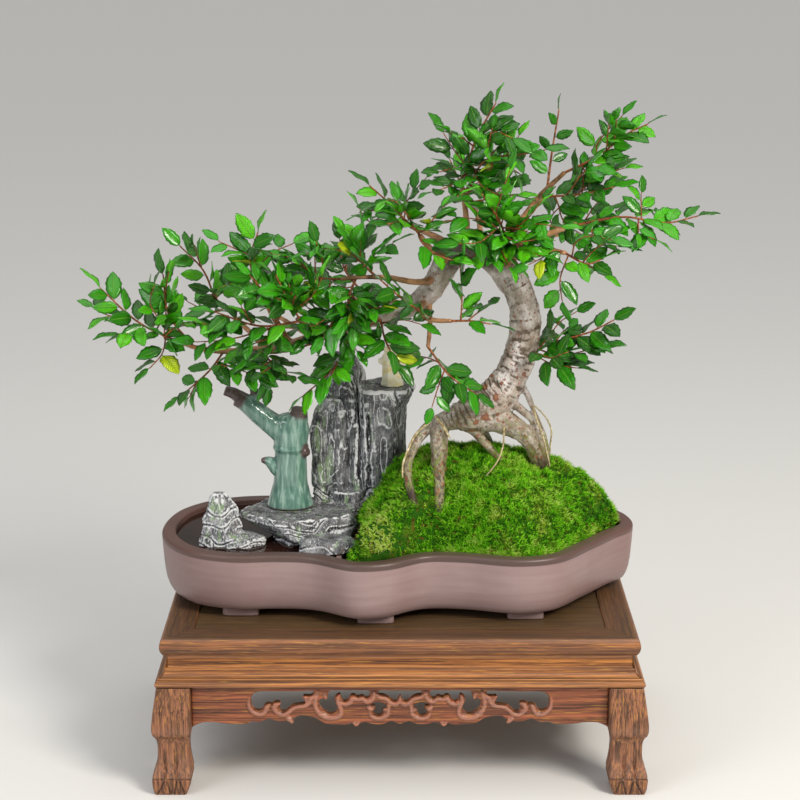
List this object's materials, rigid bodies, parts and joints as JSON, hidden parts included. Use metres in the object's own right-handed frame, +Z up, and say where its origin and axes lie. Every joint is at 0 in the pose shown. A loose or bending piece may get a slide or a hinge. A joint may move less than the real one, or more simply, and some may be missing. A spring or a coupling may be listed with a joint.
{
  "type": "chinese elm bonsai",
  "caption": "Chinese elm bonsai on stilt roots over a moss mound, in a lobed clay tray with a pool, stones and small figures, on a carved wooden stand.",
  "frame": {"origin": "on the floor under the middle of the stand's footprint", "axes": "+Z up, +X to the viewer's right as the long front is seen, +Y away from the viewer"},
  "size_m": [0.6195, 0.296, 0.6712],
  "materials": {
    "elm_bark": "matt pale grey-beige bark with red-brown lenticels",
    "elm_leaves": "glossy green blades, matt red-brown twigs",
    "moss": "matt, soft and fibrous, vivid green with yellow-green tips",
    "soil": "matt dark planting soil",
    "tray_clay": "satin unglazed purple-brown stoneware",
    "pool_water": "clear still water over a dark floor",
    "carved_stone": "rough charcoal stone with white brushed ridges",
    "celadon_glaze": "glossy grey-green crackled glaze",
    "ivory_glaze": "satin cream glaze",
    "stand_wood": "oiled open-grained dark hardwood",
    "panel_wood": "oiled open-grained dark hardwood, greyer"
  },
  "bodies": {
    "root": {"elm_tree": "elm_bark", "spray_back_up": "elm_leaves", "spray_far_left": "elm_leaves", "spray_front_top": "elm_leaves", "spray_inner_side": "elm_leaves", "spray_inner_tail": "elm_leaves", "spray_leader": "elm_leaves", "spray_left_back": "elm_leaves", "spray_left_front": "elm_leaves", "spray_left_hanging": "elm_leaves", "spray_left_inner": "elm_leaves", "spray_left_peak": "elm_leaves", "spray_left_tall": "elm_leaves", "spray_left_under": "elm_leaves", "spray_left_upright": "elm_leaves", "spray_mid_back": "elm_leaves", "spray_mid_hang": "elm_leaves", "spray_mid_long": "elm_leaves", "spray_mid_low": "elm_leaves", "spray_mid_tail": "elm_leaves", "spray_mid_under": "elm_leaves", "spray_mid_up": "elm_leaves", "spray_right_back": "elm_leaves", "spray_right_far": "elm_leaves", "spray_right_high": "elm_leaves", "spray_right_low": "elm_leaves", "spray_right_mid": "elm_leaves", "spray_top_back": "elm_leaves", "spray_top_cross": "elm_leaves", "spray_top_fine": "elm_leaves", "spray_top_front": "elm_leaves", "spray_trunk_shoot": "elm_leaves", "spray_young_shoot": "elm_leaves", "moss": "moss", "soil": "soil", "tray": "tray_clay", "water": "pool_water", "rockery": "carved_stone", "rock_peak": "carved_stone", "rock_slab": "carved_stone", "glazed_stump": "celadon_glaze", "pagoda": "ivory_glaze", "stand_apron_back": "stand_wood", "stand_apron_front": "stand_wood", "stand_apron_left": "stand_wood", "stand_apron_right": "stand_wood", "stand_leg_back_left": "stand_wood", "stand_leg_back_right": "stand_wood", "stand_leg_front_left": "stand_wood", "stand_leg_front_right": "stand_wood", "stand_panel": "panel_wood", "stand_rail_back": "stand_wood", "stand_rail_front": "stand_wood", "stand_rail_left": "stand_wood", "stand_rail_right": "stand_wood", "stand_waist_back": "stand_wood", "stand_waist_front": "stand_wood", "stand_waist_left": "stand_wood", "stand_waist_right": "stand_wood"}
  },
  "joints": []
}
